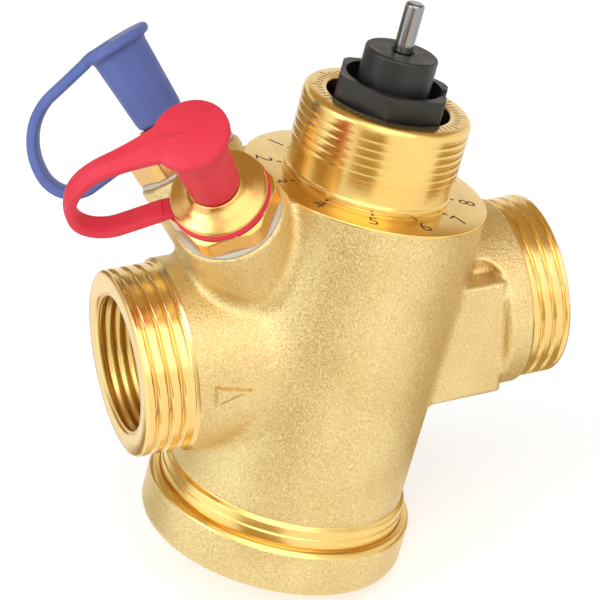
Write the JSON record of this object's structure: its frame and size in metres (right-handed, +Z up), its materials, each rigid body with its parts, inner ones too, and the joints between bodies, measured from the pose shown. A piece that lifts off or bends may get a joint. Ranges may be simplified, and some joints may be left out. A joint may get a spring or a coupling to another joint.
{
  "type": "balancing valve",
  "caption": "Brass pipe balancing valve with leaning bore, threaded ports and neck, hexagonal preset dial, sprung stem, capped test plugs and a diaphragm regulator in its foot.",
  "frame": {"origin": "where the pipe's axis crosses the valve's axis", "axes": "+X along the pipe from inlet to outlet, +Z up in the valve's plane of symmetry, -Y towards the picture's viewer; the valve's axis leans 15 degrees from +Z towards +X"},
  "size_m": [0.0908, 0.0513, 0.1074],
  "materials": {
    "cast_brass": "cast, shot-blasted, with turned faces and threads",
    "turned_brass": "turned, bright",
    "black_plastic": "moulded, satin",
    "stainless": "ground",
    "red_plastic": "moulded, soft satin",
    "blue_plastic": "moulded, soft satin",
    "white_washer": "pressed sheet",
    "rubber": "moulded",
    "spring_steel": "drawn wire and strip",
    "grey_plastic": "glass-filled moulding"
  },
  "bodies": {
    "valve": {"body": "cast_brass", "bottom_cap": "cast_brass", "red_plug": "turned_brass", "blue_plug": "turned_brass", "red_washer": "white_washer", "blue_washer": "white_washer", "red_core": "rubber", "blue_core": "rubber", "bonnet": "turned_brass", "bonnet_seal": "rubber", "hub_seal": "rubber", "bonnet_ring": "spring_steel", "regulator_guide": "turned_brass", "regulator_spring": "spring_steel", "diaphragm": "rubber"},
    "preset": {"preset_nut": "black_plastic", "preset_sleeve": "grey_plastic", "gland": "black_plastic", "stem_seal": "rubber", "stem_spring": "spring_steel"},
    "stem": {"stem": "stainless", "valve_disc": "turned_brass", "disc_seal": "rubber", "stem_clip": "spring_steel"},
    "regulator": {"regulator_piston": "stainless", "diaphragm_plate": "stainless", "piston_nut": "stainless"},
    "red_cap": {"red_cap": "red_plastic"},
    "blue_cap": {"blue_cap": "blue_plastic"}
  },
  "joints": [
    {"name": "preset_turn", "type": "hinge", "parent": "valve", "child": "preset", "pos_m": [0.01035, 0, 0.03864], "axis": [0.2588, 0, 0.9659], "range_deg": [0, 270]},
    {"name": "stem_travel", "type": "slide", "parent": "preset", "child": "stem", "axis": [-0.2588, 0, -0.9659], "range_m": [0, 0.004], "stiffness_N_per_m": 400, "springref_m": -0.005, "deforming": ["stem_spring"]},
    {"name": "regulator_travel", "type": "slide", "parent": "valve", "child": "regulator", "axis": [0.2588, 0, 0.9659], "range_m": [0, 0.003], "stiffness_N_per_m": 500, "springref_m": -0.004, "deforming": ["regulator_spring", "diaphragm"]},
    {"name": "red_cap_pull", "type": "slide", "parent": "valve", "child": "red_cap", "axis": [-0.3963, -0.3967, 0.828], "range_m": [0, 0.013], "deforming": ["red_cap"]},
    {"name": "blue_cap_pull", "type": "slide", "parent": "valve", "child": "blue_cap", "axis": [-0.3963, 0.3967, 0.828], "range_m": [0, 0.013], "deforming": ["blue_cap"]}
  ]
}
